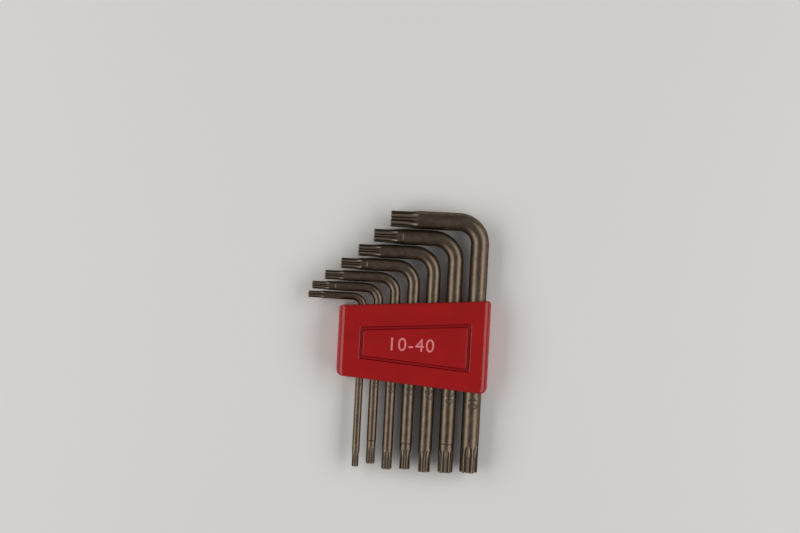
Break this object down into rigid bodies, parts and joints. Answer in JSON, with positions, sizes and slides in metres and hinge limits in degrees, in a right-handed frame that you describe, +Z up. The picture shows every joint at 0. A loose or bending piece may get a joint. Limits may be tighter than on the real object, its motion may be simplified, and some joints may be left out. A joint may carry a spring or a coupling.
{
  "type": "star key set",
  "caption": "Flat set of graded L-shaped star keys with six-lobed tips, held side by side in a wedge-shaped moulded holder in which each key turns about its long arm.",
  "frame": {"origin": "middle of the flat back of the holder, on the surface that the set lies on", "axes": "+X across the row towards the largest key, +Y along the long arms towards the bends, +Z up out of the front of the holder"},
  "size_m": [0.0677, 0.0963, 0.011],
  "materials": {
    "key_steel": "satin, dark warm grey",
    "holder_plastic": "glossy moulded red"
  },
  "bodies": {
    "holder": {"holder_front": "holder_plastic", "holder_rear": "holder_plastic"},
    "key_10": {"key_10": "key_steel"},
    "key_15": {"key_15": "key_steel"},
    "key_20": {"key_20": "key_steel"},
    "key_25": {"key_25": "key_steel"},
    "key_27": {"key_27": "key_steel"},
    "key_30": {"key_30": "key_steel"},
    "key_40": {"key_40": "key_steel"}
  },
  "joints": [
    {"name": "key_10_turn", "type": "hinge", "parent": "holder", "child": "key_10", "pos_m": [-0.01925, 0, 0.0055], "axis": [0, 1, 0], "range_deg": [0, 130]},
    {"name": "key_15_turn", "type": "hinge", "parent": "holder", "child": "key_15", "pos_m": [-0.0137, 0, 0.0055], "axis": [0, 1, 0], "range_deg": [0, 130]},
    {"name": "key_20_turn", "type": "hinge", "parent": "holder", "child": "key_20", "pos_m": [-0.0076, 0, 0.0055], "axis": [0, 1, 0], "range_deg": [0, 128]},
    {"name": "key_25_turn", "type": "hinge", "parent": "holder", "child": "key_25", "pos_m": [-0.00093, 0, 0.0055], "axis": [0, 1, 0], "range_deg": [0, 126]},
    {"name": "key_27_turn", "type": "hinge", "parent": "holder", "child": "key_27", "pos_m": [0.00632, 0, 0.0055], "axis": [0, 1, 0], "range_deg": [0, 124]},
    {"name": "key_30_turn", "type": "hinge", "parent": "holder", "child": "key_30", "pos_m": [0.01413, 0, 0.0055], "axis": [0, 1, 0], "range_deg": [0, 122]},
    {"name": "key_40_turn", "type": "hinge", "parent": "holder", "child": "key_40", "pos_m": [0.02275, 0, 0.0055], "axis": [0, 1, 0], "range_deg": [0, 180]}
  ]
}
